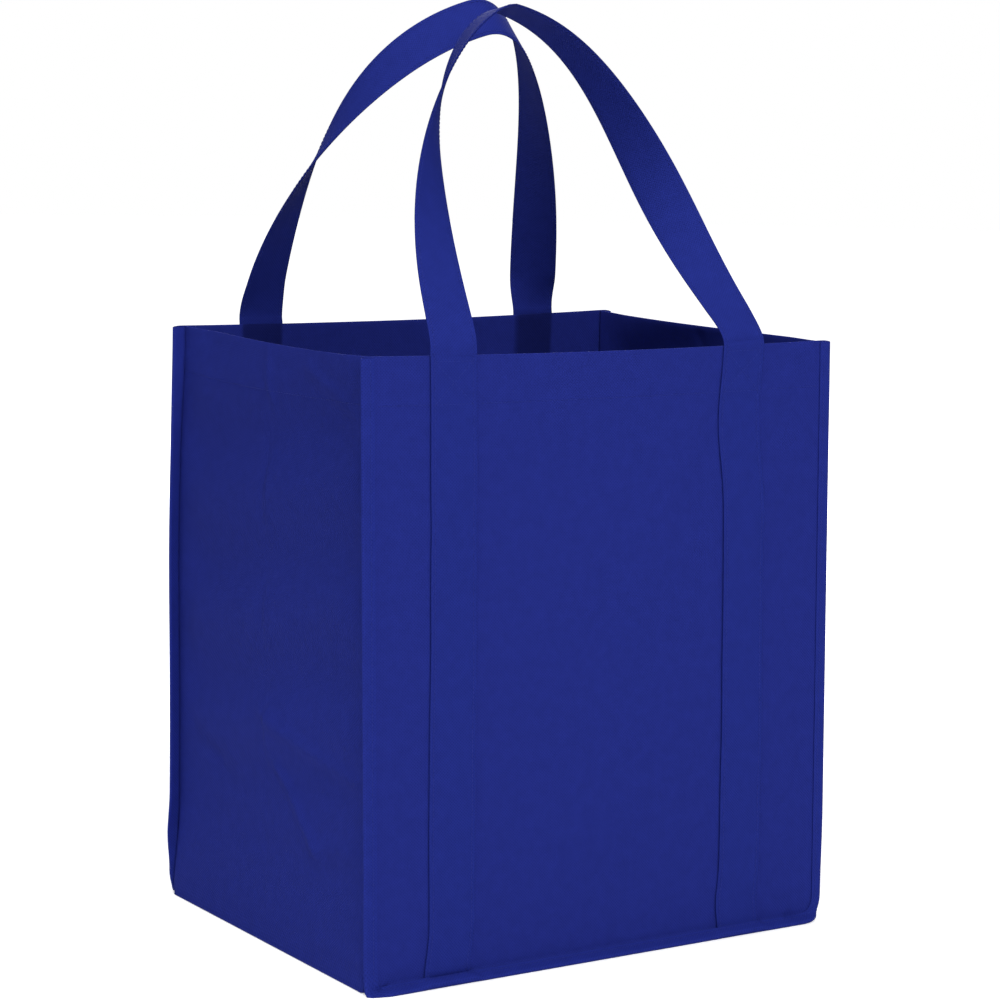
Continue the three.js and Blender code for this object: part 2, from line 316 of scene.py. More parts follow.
def settle(x, y, z):
    x, z = crisp_base(x, y, z)
    x, y = turn_flange(x, y, z)
    x = x + base_spread(x, y, z)
    across = np.clip(x / seam_x, -1, 1)
    deep = np.clip(y / (rim_depth / 2), -1, 1)
    front_share = (1 - deep) / 2
    left_share = (1 - across) / 2
    sag = (1 - across**2) * (front_sag * front_share + back_sag * (1 - front_share)) * np.abs(deep)
    sag = sag + (1 - deep**2) * (left_sag * left_share + right_sag * (1 - left_share)) * np.abs(across)
    sag = sag - raised_corner * (1 - front_share) * (1 - left_share)
    height = z / body_height
    above = 1 - ramp(z, body_height + 5, body_height + loop_settle)
    pull = np.where(height < 1, np.clip(height, 0, 1) ** 3, above)
    shift = front_lean * front_share * np.clip(1 - height, 0, 1)
    swelling = hump(z, back_bulge_up, back_bulge_reach)
    shift = shift - back_bulge * left_share * (1 - front_share) * swelling
    shift = shift - foot_tuck * front_share * ramp(x, seam_x - 1, edge_x) * (1 - ramp(z, 12, foot_tuck_up))
    return np.stack([x + shift, y, z - sag * pull], axis=-1)


foot = settle(*(np.array([v]) for v in (0.0, -base_depth / 2, 20.0)))[0]
print("the front's foot moves by, mm:", round(float(foot[0]), 1))

# %% [markdown]
# Pieces that are sewn together have to agree on where they are. So there is one function for a place on
# a panel and one for a place along a seam, and every other piece is laid by calling one of the two.

# %% Places on the panels and along the seams
whole_drift = 3.4
left_drift, left_foot_drift = 1.9, 3.6
right_rim_drift, right_rim_up, right_rim_reach = 4.3, 336, 34
right_foot_drift, right_foot_up, right_foot_reach = 2.4, 24, 16


def leg_drift(side, which, up):
    """The front strap was not sewn on quite straight. How far a leg lies right of its planned place."""
    if side == BACK:
        return 0.0 * up
    left = -whole_drift - left_drift * ramp(rim_up - up, 60, 330) - left_foot_drift * ramp(40 - up, 0, 36)
    right = -whole_drift - right_rim_drift * hump(up, right_rim_up, right_rim_reach)
    right = right - right_foot_drift * hump(up, right_foot_up, right_foot_reach)
    return np.where(which < 0, left, right)


def panel_point(side, x, up, depth):
    """x across and up along the panel, depth in from its middle surface, all in millimetres."""
    x, up, depth = np.broadcast_arrays(np.asarray(x, float), up, depth)
    out, z, heading = panel_section(up)
    inward = depth - face_relief(side, x, up)
    out = out + inward * np.cos(heading + math.pi / 2)
    z = z + inward * np.sin(heading + math.pi / 2)
    return x, side * out, z


def seam_station(along):
    """The seam at a distance from the middle of the base, negative to the left, and its way out."""
    along = np.asarray(along, float)
    which = np.where(along < 0, -1.0, 1.0)
    far = np.abs(along)
    angle = np.clip((far - corner_x) / seam_radius, 0, math.pi / 2)
    rise = np.maximum(far - corner_x - seam_radius * math.pi / 2, 0)
    x = which * (np.minimum(far, corner_x) + seam_radius * np.sin(angle))
    up = corner_radius - seam_radius * np.cos(angle) + rise
    return x, up, which * np.sin(angle), -np.cos(angle), np.cos(angle) ** 2


def seam_point(side, along, out, depth):
    x, up, out_x, out_up, _ = seam_station(along)
    return panel_point(side, x + out_x * out, up + out_up * out, depth)


seam_half = corner_end + rim_up - layer_gap - corner_radius
print("seam from rim to rim", round(2 * seam_half, 1), "mm")

# %% [markdown]
# A piece of cloth starts as a grid primitive, with its columns and rows closer where it will be folded.
# The flat places go into a UV map in metres, and a sewing function gives each vertex its place. Solidify
# then makes the sheet as thick as the real cloth, and is applied.


# %% Cut and fold a sheet
def evenly(start, end, spacing):
    return np.linspace(start, end, max(2, round(abs(end - start) / spacing) + 1))


def stops(*runs):
    return np.unique(np.round(np.concatenate(runs), 5))


def cut_sheet(name, columns, rows):
    """A flat grid with its vertices at the given columns and rows, in millimetres."""
    bpy.ops.object.select_all(action="DESELECT")
    bpy.ops.mesh.primitive_grid_add(
        x_subdivisions=len(columns) - 1, y_subdivisions=len(rows) - 1, size=1, location=(0, 0, 0)
    )
    sheet = bpy.context.object
    sheet.name = name
    sheet.data.name = name
    flat = np.stack(np.meshgrid(columns, rows), axis=-1).reshape(-1, 2)
    uv = sheet.data.uv_layers.active
    uv.name = "cut"
    corners = np.empty(len(sheet.data.loops), int)
    sheet.data.loops.foreach_get("vertex_index", corners)
    uv.data.foreach_set("uv", (flat[corners] * MM).ravel())
    return sheet, flat


def place_vertices(sheet, x, y, z):
    spots = settle(x, y, z) * MM
    sheet.data.vertices.foreach_set("co", spots.astype(np.float32).ravel())
    sheet.data.update()


def thicken(sheet, thickness, outward):
    """Gives the sheet its thickness. outward is False where the folding turned the grid inside out."""
    if not outward:
        bpy.ops.object.mode_set(mode="EDIT")
        bpy.ops.mesh.select_all(action="SELECT")
        bpy.ops.mesh.flip_normals()
        bpy.ops.object.mode_set(mode="OBJECT")
    modifier = sheet.modifiers.new("thickness", "SOLIDIFY")
    modifier.thickness = thickness * MM
    modifier.offset = 0
    bpy.ops.object.modifier_apply(modifier=modifier.name)
    bpy.ops.object.shade_smooth_by_angle(angle=math.radians(50))


def stand_for(sheet, node):
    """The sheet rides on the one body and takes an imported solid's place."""
    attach(sheet, "root")
    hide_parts(node)
    return sheet


print("cloth", cloth, "mm thick, folded round", fold_radius, "mm")

# %% [markdown]
# Each face panel is one sheet. Its lower corners are rounded, its bottom edge is the lip in the seam,
# and its top 30 mm are folded in as a hem. It could be a thin bevelled box, but that has no folded hem
# to see over the rim, so the sheet is bent round along its rows.

# %% The two face panels
fold_length = math.pi * fold_radius
wall_step, hem_step, fold_step = 2.8, 3.0, 0.2
bend_end, fold_end = lip_length + bend_length, rim_up + fold_length
panel_rows = stops(
    evenly(0, lip_length, 1.2), evenly(lip_length, bend_end, 0.8), evenly(bend_end, 18, 1.2),
    evenly(18, rim_up, wall_step), evenly(rim_up, fold_end, fold_step),
    evenly(fold_end, fold_end + hem_depth, hem_step),
)
panel_columns = stops(evenly(-edge_x, -95, 1.3), evenly(-95, 125, 2.75), evenly(125, edge_x, 1.3))


def rim_fold(beyond):
    """Inward and upward distance of cloth that has gone a length beyond the rim."""
    angle = np.clip(beyond / fold_radius, 0, math.pi)
    down = np.maximum(beyond - fold_length, 0)
    return fold_radius * (1 - np.cos(angle)), fold_radius * np.sin(angle) - down, angle / math.pi


def face_panel(node, side):
    sheet, flat = cut_sheet(node + "_cloth", panel_columns, panel_rows)
    across, up = flat.T
    inset = corner_radius - np.sqrt(corner_radius**2 - np.maximum(corner_radius - up, 0) ** 2)
    inward, upward, folded = rim_fold(np.maximum(up - rim_up, 0))
    half = (edge_x - inset) * (1 - folded) + (seam_x - layer) * folded
    level = np.minimum(up, rim_up) + np.minimum(upward, 0)
    x, y, z = panel_point(side, across / edge_x * half, level, inward)
    place_vertices(sheet, x, y, z + np.maximum(upward, 0))
    which = np.where(x < 0, -1.0, 1.0)
    # Painted shade: the cloth where a strap lies on it is marked to be painted darker. This stands in for
    # the light that the strap keeps from shining through the thin cloth, which shows inside the bag.
    away = np.abs(x - which * strap_x - leg_drift(side, which, level)) - strap_width / 2
    strap_shade = sheet.data.attributes.new("painted_strap_shade", "FLOAT", "POINT")
    strap_shade.data.foreach_set("value", ramp(-away, 0, 2.5).astype(np.float32))
    thicken(sheet, cloth, side == FRONT)
    return stand_for(sheet, node)


front_cloth = face_panel("front_panel", FRONT)
back_cloth = face_panel("back_panel", BACK)
print("front panel", len(front_cloth.data.polygons), "faces")

# %% [markdown]
# One long strip is the left side, the base and the right side. Its edges lie behind the panels' edges
# in the seams, and both its ends are hemmed. Three separate walls would be simpler, but the real bag
# has no seam where the side turns under, so it is one grid here too.

# %% The gusset strip
lip_stops = evenly(0, seam_allowance - layer_gap, 1.3)
wall_half = rim_depth / 2
strip_columns = stops(
    -wall_half - lip_stops, evenly(-wall_half, -wall_half + base_slope_run, 1.6),
    evenly(-wall_half + base_slope_run, wall_half - base_slope_run, wall_step),
    evenly(wall_half - base_slope_run, wall_half, 1.6), wall_half + lip_stops,
)
strip_fold_end = seam_half + fold_length
strip_end = strip_fold_end + hem_depth
half_rows = stops(
    evenly(0, corner_x, 4.0), evenly(corner_x, corner_end, 0.9), evenly(corner_end, seam_half, wall_step),
    evenly(seam_half, strip_fold_end, fold_step), evenly(strip_fold_end, strip_end, hem_step),
)
strip_rows = stops(-half_rows, half_rows)


def strip_place(across, along):
    """A place on the gusset strip, by its flat measure."""
    beyond = np.maximum(np.abs(along) - seam_half, 0)
    inward, upward, folded = rim_fold(beyond)
    station = np.sign(along) * (np.minimum(np.abs(along), seam_half) + np.minimum(upward, 0))
    out = np.maximum(np.abs(across) - wall_half, 0) * (1 - folded)
    share = np.clip(across / wall_half, -1, 1) * (1 - folded * 2 * layer / wall_half)
    ends = [seam_point(side, station, out, layer) for side in (FRONT, BACK)]
    x = np.where(across < 0, ends[0][0], ends[1][0])
    y = ends[0][1] * (1 - share) / 2 + ends[1][1] * (1 + share) / 2
    y = np.where(out > 0, np.where(across < 0, ends[0][1], ends[1][1]), y)
    z = np.where(across < 0, ends[0][2], ends[1][2])
    _, up, out_x, _, under = seam_station(station)
    inside = np.clip((wall_half - np.abs(across)) / base_slope_run, 0, 1)
    z = z - (z - cloth / 2) * under * inside
    sunk = side_relief(out_x, across, up) * (1 - under) * (out == 0)
    return x - np.sign(along) * (sunk + inward), y, z + np.maximum(upward, 0)


def gusset_strip():
    sheet, flat = cut_sheet("gusset_cloth", strip_columns, strip_rows)
    place_vertices(sheet, *strip_place(*flat.T))
    thicken(sheet, cloth, False)
    return stand_for(sheet, "gusset_strip")


gusset_cloth = gusset_strip()
print("gusset strip", len(gusset_cloth.data.polygons), "faces")

# %% [markdown]
# A tape of the same cloth is folded over the raw edges of each seam. It follows the seam down one
# side, round the corners, along the bottom and up again, and steps over the two strap ends. A bevelled
# curve could do for a cord, but a tape is flat, so a long grid is wrapped round the edge instead.

# %% The bindings
bump_ramp = 5
tape_setback = 0.3
tape_back_start = 1.6
tape_top = -(cloth / 2 + layer_gap)
tape_bottom = layer + cloth / 2 + layer_gap
tape_turn = seam_allowance - (tape_bottom - tape_top) / 4
tape_wrap = math.pi * (tape_bottom - tape_top) / 2
tape_front = tape_turn - tape_setback
tape_width = tape_front + tape_wrap + tape_turn - tape_back_start


def tape_section(around, rise):
    """Way out and depth of the tape at a distance round it, where it starts on the panel's face."""
    top = tape_top - rise - cloth / 2
    bottom = tape_bottom + cloth / 2
    middle, half = (top + bottom) / 2, (bottom - top) / 2
    angle = np.clip((around - tape_front) / tape_wrap, 0, 1) * math.pi - math.pi / 2
    back_run = np.maximum(around - tape_front - tape_wrap, 0)
    reach = (tape_bottom - tape_top) / 2 + cloth / 2
    out = np.minimum(tape_setback + around, tape_turn) + reach * np.cos(angle) - back_run
    return out, middle + half * np.sin(angle)


def strap_bump(side, along):
    x, up, out_x, _, _ = seam_station(along)
    which = np.where(x < 0, -1.0, 1.0)
    away = np.abs(x - which * strap_x - leg_drift(side, which, up)) - strap_width / 2 - layer_gap
    share = np.where(np.abs(out_x) < 1e-6, 1 - np.clip(away / bump_ramp, 0, 1), 0)
    return share * (strap_thickness + layer_gap)


def binding_tape(node, side):
    columns = stops(
        evenly(0, tape_front, 1.2), evenly(tape_front, tape_front + tape_wrap, 0.4),
        evenly(tape_front + tape_wrap, tape_width, 1.2),
    )
    rows = stops(-evenly(0, seam_half, 1.6), evenly(0, seam_half, 1.6))
    sheet, flat = cut_sheet(node + "_tape", columns, rows)
    around, along = flat.T
    out, depth = tape_section(around, strap_bump(side, along))
    place_vertices(sheet, *seam_point(side, along, out, depth))
    thicken(sheet, cloth, side == BACK)
    return stand_for(sheet, node)


front_tape = binding_tape("front_binding", FRONT)
back_tape = binding_tape("back_binding", BACK)
print("tape", round(tape_width, 1), "mm wide")

# %% [markdown]
# Each handle is one long strap of folded cloth. It is sewn up the panel, leaves the rim, twists by
# half a turn over its loop and comes down again. The loop is two Bezier curves that meet at the crown,
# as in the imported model, and the strap's face turns evenly along each leg.

# %% The line of a handle
front_loop = dict(
    offset=-24, standoff=40, drop=-0.9, skew=-0.038, slope=-0.24, tilt=math.radians(6.4),
    left=dict(rise=158.2, lean=104.6, aside=14.5, reach=15, turn=(0, 0.537), belly=4.0),
    right=dict(rise=99.3, lean=115.8, aside=-2.6, reach=81.2, turn=(0.463, 1.055), belly=5.5),
)
back_loop = dict(
    offset=-9.6, standoff=18, drop=3.5, skew=-0.208, slope=0.319, tilt=math.radians(44.6),
    left=dict(rise=15, lean=-8.8, aside=0.7, reach=120, turn=(-0.072, 0.484), belly=0.0),
    right=dict(rise=41.9, lean=-11.3, aside=3.2, reach=60.6, turn=(0.505, 1.217), belly=0.0),
)
foot_hold = 30
belly_run = 20
loop_rise = 204
foot_up = rim_up + fold_radius + cloth / 2 + strap_lift


def bezier(points, share):
    a, b, c, d = (np.asarray(p, float) for p in points)
    t = share[:, None]
    return (1 - t) ** 3 * a + 3 * (1 - t) ** 2 * t * b + 3 * (1 - t) * t**2 * c + t**3 * d


def distances(points):
    """How far each point lies along the line through them all."""
    return np.concatenate([[0], np.cumsum(np.linalg.norm(np.diff(points, axis=0), axis=1))])


def loop_line(side, loop):
    """Points along the loop's middle, from the left foot to the right one."""
    out, z, _ = panel_section(np.array(rim_up))
    tilt = face_heading + math.pi / 2
    over = foot_up - rim_up
    y = side * (out + over * math.cos(face_heading) - strap_depth * math.cos(tilt))
    z = z + over * math.sin(face_heading) - strap_depth * math.sin(tilt)
    drift = [float(leg_drift(side, which, np.array(rim_up))) for which in (-1, 1)]
    feet = [np.array([which * strap_x + drift[i], float(y), float(z)]) for i, which in enumerate((-1, 1))]
    crown = np.array([loop["offset"], side * loop["standoff"], body_height + loop_rise - loop["drop"]])
    heading = np.array([1, loop["skew"], loop["slope"]])
    heading = heading / np.linalg.norm(heading)
    knees = [
        feet[i] + np.array([loop[leg]["aside"], -side * loop[leg]["lean"], loop[leg]["rise"]])
        for i, leg in enumerate(("left", "right"))
    ]
    share = np.linspace(0, 1, 600)
    left = bezier((feet[0], knees[0], crown - heading * loop["left"]["reach"], crown), share)
    right = bezier((crown, crown + heading * loop["right"]["reach"], knees[1], feet[1]), share)
    line = np.concatenate([left, right[1:]])
    far = distances(line)
    for leg, run in (("left", far), ("right", far[-1] - far)):
        line[:, 1] += side * loop[leg]["belly"] * run / belly_run * np.exp(1 - run / belly_run)
    return line, distances(line)


def unit(vectors):
    return vectors / np.linalg.norm(vectors, axis=-1, keepdims=True)


def loop_place(side, across, along, off):
    """A place on the loop: across the strap, along from the left foot, and off its middle surface."""
    loop, (line, far) = loops[side], lines[side]
    spot = np.stack([np.interp(along, far, line[:, i]) for i in range(3)], axis=-1)
    slopes = np.gradient(line, far, axis=0)
    tangent = unit(np.stack([np.interp(along, far, slopes[:, i]) for i in range(3)], axis=-1))
    share = along / far[-1]
    first = ramp(share, *loop["left"]["turn"]) * ramp(along, 0, foot_hold)
    second = 1 - (1 - ramp(share, *loop["right"]["turn"])) * ramp(far[-1] - along, 0, foot_hold)
    turn = (first + second) * math.pi / 2
    level, upright = math.cos(loop["tilt"]), math.sin(loop["tilt"])
    wide = np.stack([np.cos(turn), np.sin(turn) * level, side * np.sin(turn) * upright], axis=-1)
    wide = unit(wide - np.sum(wide * tangent, axis=-1, keepdims=True) * tangent)
    face = side * np.cross(wide, tangent)
    return spot + wide * across[:, None] + face * off[:, None]


def strap_place(side, across, along, off):
    """A place on the whole strap. along is 0 at the left foot, so the left leg is negative."""
    length = loop_length[side]
    over = along - length
    up = np.where(along < 0, foot_up + along, foot_up - over)
    which = np.where(along < length / 2, -1.0, 1.0)
    level = np.minimum(up, rim_up)
    leg_x = which * strap_x + leg_drift(side, which, level) - which * across
    above = np.maximum(up - rim_up, 0)
    leg = np.stack(panel_point(side, leg_x, level, -strap_depth - off), axis=-1)
    leg = leg + above[:, None] * np.array([0, side * math.cos(face_heading), math.sin(face_heading)])
    loop_spot = loop_place(side, across, np.clip(along, 0, length), off)
    eased = 1 - ramp(np.minimum(along, length - along), 0, 70)
    relief = face_relief(side, leg_x, np.full_like(along, rim_up))
    loop_spot[:, 1] += side * relief * eased
    on_leg = (along < 0) | (along > length)
    spot = np.where(on_leg[:, None], leg, loop_spot)
    return spot[:, 0], spot[:, 1], spot[:, 2]


loops = {FRONT: front_loop, BACK: back_loop}
lines = {side: loop_line(side, loop) for side, loop in loops.items()}
loop_length = {side: far[-1] for side, (_, far) in lines.items()}
print("loops", [round(length) for length in loop_length.values()], "mm long")

# %% [markdown]
# The strap's section is drawn as the folded cloth is: rounded at the fold, drawn in where the two edge
# seams run, and with a fine groove where its open edges meet. The grid is wrapped round that section
# and closed at its seam and ends, which gives it real thickness without the layers inside.

# %% The handle straps
seam_inset = 2.6
edge_round = 0.5
edge_lift, edge_lift_width = 0.35, 1.6
seam_dip, seam_dip_width = 0.2, 1.1
groove_depth = 1.5
leg_length = foot_up - layer_gap


def strap_ring():
    """Points round the strap's section: across it and off its middle."""
    half, thick = strap_width / 2, strap_thickness / 2
    near, rounded = half - 4, half - edge_round
    face = stops(evenly(-rounded, -near, 0.9), evenly(-near, near, 2.1), evenly(near, rounded, 0.9))
    dip = sum(hump(face, s * (half - seam_inset), seam_dip_width) for s in (-1, 1))
    height = thick * (1 - seam_dip * dip)
    under = -height + edge_lift * hump(half - np.abs(face), 0, edge_lift_width)
    fold = np.linspace(math.pi / 2, -math.pi / 2, 7)[1:-1]
    folded = [
        (rounded + edge_round * math.cos(a), max(thick * math.sin(a), edge_lift - thick)) for a in fold
    ]
    groove = [
        (-half + 0.1, -thick * 0.3), (-half + 0.05, -thick * 0.05), (-half + groove_depth, thick * 0.15),
        (-half + 0.05, thick * 0.35), (-half + 0.1, thick * 0.65),
    ]
    return [*zip(face, height), *folded, *zip(face[::-1], under[::-1]), *groove]


def handle_strap(node, side):
    ring = np.array(strap_ring())
    top, end = loop_length[side], loop_length[side] + leg_length
    rows = stops(
        evenly(-leg_length, -leg_length + 20, 1.5), evenly(-leg_length + 20, 0, 3.0),
        evenly(0, top, 3.0), evenly(top, end - 20, 3.0), evenly(end - 20, end, 1.5),
    )
    columns = distances(np.vstack([ring, ring[:1]]))
    sheet, flat = cut_sheet(node + "_strap", columns, rows)
    around, along = flat.T
    index = np.tile(np.arange(len(columns)) % len(ring), len(rows))
    across, off = ring[index].T
    place_vertices(sheet, *strap_place(side, across, along, off))
    bpy.ops.object.mode_set(mode="EDIT")
    bpy.ops.mesh.select_all(action="SELECT")
    bpy.ops.mesh.remove_doubles(threshold=0.01 * MM)
    bpy.ops.mesh.select_all(action="DESELECT")
    bpy.ops.mesh.select_non_manifold()
    bpy.ops.mesh.fill()
    bpy.ops.mesh.select_all(action="SELECT")
    bpy.ops.mesh.normals_make_consistent(inside=False)
    bpy.ops.object.mode_set(mode="OBJECT")
    bpy.ops.object.shade_smooth_by_angle(angle=math.radians(50))
    return stand_for(sheet, node)


front_strap = handle_strap("front_handle", FRONT)
back_strap = handle_strap("back_handle", BACK)
print("strap", len(front_strap.data.polygons), "faces")

# %% [markdown]
# Lockstitch in thread of the cloth's colour holds it all. Stitches could be drawn in the material, but
# then they would have no thickness in the exported model. One stitch is a small ball drawn out to the
# stitch's length, sunk by half into the cloth. It is copied along lines given on the flat pieces.

# %% Thread
stitch_length = 3.0
stitch_gap = 0.6
thread_width = 0.5
thread_lift = 0.08


def one_stitch():
    bpy.ops.object.select_all(action="DESELECT")
    bpy.ops.mesh.primitive_uv_sphere_add(segments=6, ring_count=4, radius=0.5, location=(0, 0, 0))
    ball = bpy.context.object
    points = np.array([v.co[:] for v in ball.data.vertices])
    faces = [tuple(p.vertices) for p in ball.data.polygons]
    bpy.data.objects.remove(ball)
    return points[:, [2, 0, 1]], faces


stitch_points, stitch_faces = one_stitch()


def line_on(place, start, end):
    """Middle, way along and way out of each stitch on a line between two places on a flat piece."""
    start, end = np.array(start, float), np.array(end, float)
    length = np.linalg.norm(end - start)
    count = max(1, round(length / stitch_length))
    share = (np.arange(count) + 0.5) / count
    middle = start + (end - start) * share[:, None]
    ahead = (end - start) / length

    def at(flat, extra=0.0):
        return settle(*place(flat[:, 0], flat[:, 1], np.full(len(flat), thread_lift + extra)))

    spot = at(middle)
    tangent = unit(at(middle + ahead * 0.5) - at(middle - ahead * 0.5))
    way_out = unit(at(middle, 0.2) - spot)
    return spot, tangent, way_out, np.full(count, length / count - stitch_gap)


def sew(name, runs):
    """One mesh of all the stitches of some runs."""
    spot, tangent, way_out, lengths = (np.concatenate(part) for part in zip(*runs))
    aside = unit(np.cross(way_out, tangent))
    way_out = np.cross(tangent, aside)
    wide = np.full_like(lengths, thread_width)
    size = stitch_points[None] * np.stack([lengths, wide, wide * 0.8], axis=-1)[:, None]
    points = spot[:, None] + size[..., :1] * tangent[:, None] + size[..., 1:2] * aside[:, None]
    points = points + size[..., 2:] * way_out[:, None]
    count = len(stitch_points)
    faces = [tuple(v + i * count for v in face) for i in range(len(spot)) for face in stitch_faces]
    mesh = bpy.data.meshes.new(name)
    mesh.from_pydata((points.reshape(-1, 3) * MM).tolist(), [], faces)
    thread = bpy.data.objects.new(name, mesh)
    bpy.context.scene.collection.objects.link(thread)
    bpy.ops.object.select_all(action="DESELECT")
    bpy.context.view_layer.objects.active = thread
    thread.select_set(True)
    bpy.ops.object.mode_set(mode="EDIT")
    bpy.ops.mesh.select_all(action="SELECT")
    bpy.ops.mesh.normals_make_consistent(inside=False)
    bpy.ops.object.mode_set(mode="OBJECT")
    bpy.ops.object.shade_smooth()
    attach(thread, "root")
    return thread


# %% [markdown]
# The hem is held by one line between the straps, 1.5 mm above its cut edge. The binding has a line near
# its inner edge. Each strap has one along both edges, and a box with a cross at the rim, where a load
# pulls. So each line is given by two places on a flat piece.

# %% The lines of stitching
hem_line = rim_up - hem_depth + 1.5
face_share = 0.8


def on_panel(side):
    return lambda x, up, off: panel_point(side, x, up, -cloth / 2 - off)


def on_strip_wall(which):
    def place(y, up, off):
        along = which * (corner_end + up - corner_radius)
        x, deep, z = strip_place(y, along)
        return x + which * (cloth / 2 + off), deep, z

    return place


def on_tape(side):
    def place(along, out, off):
        return seam_point(side, along, out, tape_top - cloth - strap_bump(side, along) - off)

    return place


def on_strap(side, face=1):
    """face is 1 for the strap's outside and -1 for its inside."""
    def place(along, across, off):
        height = strap_thickness / 2 * face_share + off
        return strap_place(side, across, along, face * height)

    return place


# %% Sew the hem and the bindings
hem_runs = []
near_x, far_x = strap_x - strap_width / 2, strap_x + strap_width / 2
for side in (FRONT, BACK):
    for a, b in ((-seam_x + 2, -far_x), (-near_x, near_x), (far_x, seam_x - 2)):
        hem_runs.append(line_on(on_panel(side), (a, hem_line), (b, hem_line)))
for which in (-1, 1):
    level = hem_line - layer_gap
    hem_runs.append(line_on(on_strip_wall(which), (-wall_half + 2, level), (wall_half - 2, level)))
hem_thread = sew("hem_stitching", hem_runs)

tape_line = 2.8 + tape_setback
tape_ends = (-seam_half + 1, tape_line), (seam_half - 1, tape_line)
tape_runs = [line_on(on_tape(side), *tape_ends) for side in (FRONT, BACK)]
binding_thread = sew("binding_stitching", tape_runs)
print("hem lines", len(hem_runs), "tape lines", len(tape_runs))

# %% Sew the straps
box_margin = 3
box_low = hem_line - rim_up - (foot_up - rim_up)
box_high = -(foot_up - rim_up) - box_margin
strap_threads = []
for side, name in ((FRONT, "front"), (BACK, "back")):
    far = loop_length[side]
    inner = strap_width / 2 - seam_inset
    runs = []
    for edge in (-inner, inner):
        runs.append(line_on(on_strap(side), (-leg_length + 2, edge), (far + leg_length - 2, edge)))
        runs.append(line_on(on_strap(side, -1), (2, edge), (far - 2, edge)))
    for low, high in ((box_low, box_high), (far - box_low, far - box_high)):
        cross = ((low, -inner), (high, inner)), ((low, inner), (high, -inner))
        bars = ((low, -inner), (low, inner)), ((high, -inner), (high, inner))
        for a, b in cross + bars:
            runs.append(line_on(on_strap(side), a, b))
    strap_threads.append(sew(name + "_handle_stitching", runs))
threads = hem_thread, binding_thread, *strap_threads
print("stitches", sum(len(o.data.vertices) for o in threads) // len(stitch_points))

# %% [markdown]
# A handle is made as its finished strap, because the layers inside it are not modelled.

# %% [markdown]
# Spun-bonded polypropylene is a felt of fine endless fibres, held by a close grid of hot-pressed points.
# To the eye it is matt and even, with almost no gloss, a fine diagonal grain of pressed dots 1.4 mm
# apart, and a slight cloudiness where fibres lie thicker. A picture wrapped on it would blur close up,
# so the pattern is worked out from the flat measure and follows every fold.

# %% Helpers for materials
def linear(hex_colour):
    """An sRGB hex colour as the linear colour that a shader wants."""
    parts = [int(hex_colour[i:i + 2], 16) / 255 for i in (1, 3, 5)]
    return (*(c / 12.92 if c <= 0.04045 else ((c + 0.055) / 1.055) ** 2.4 for c in parts), 1)


def add(tree, kind, settings=None, **links):
    """Adds a node, sets its properties and sockets, and links sockets that are given as outputs."""
    node = tree.nodes.new(kind)
    for key, value in (settings or {}).items():
        if isinstance(key, int) or key in node.inputs:
            node.inputs[key].default_value = value
        else:
            setattr(node, key, value)
    for key, output in links.items():
        numbered = key[0] == "i" and key[1:].isdigit()
        tree.links.new(output, node.inputs[int(key[1:]) if numbered else key])
    return node


def new_material(name):
    material = bpy.data.materials.new(name)
    material.use_nodes = True
    material.node_tree.nodes.clear()
    return material, material.node_tree


def noise(tree, place, size, **settings):
    """Cloudy noise with marks of about the given size in millimetres."""
    settings["Scale"] = 1 / (size * MM)
    return add(tree, "ShaderNodeTexNoise", settings, Vector=place).outputs["Fac"]


def surface(tree, settings, **links):
    """Ends a material with a Principled shader."""
    shader = add(tree, "ShaderNodeBsdfPrincipled", settings, **links)
    add(tree, "ShaderNodeOutputMaterial", Surface=shader.outputs["BSDF"])


print("royal blue, linear:", [round(c, 3) for c in linear("#212B7D")])

# %% Pressed cloth
point_pitch = 1.4
cloud_size = 9.0
fibre_size = 0.35
point_relief = 0.14
fibre_share = 0.35


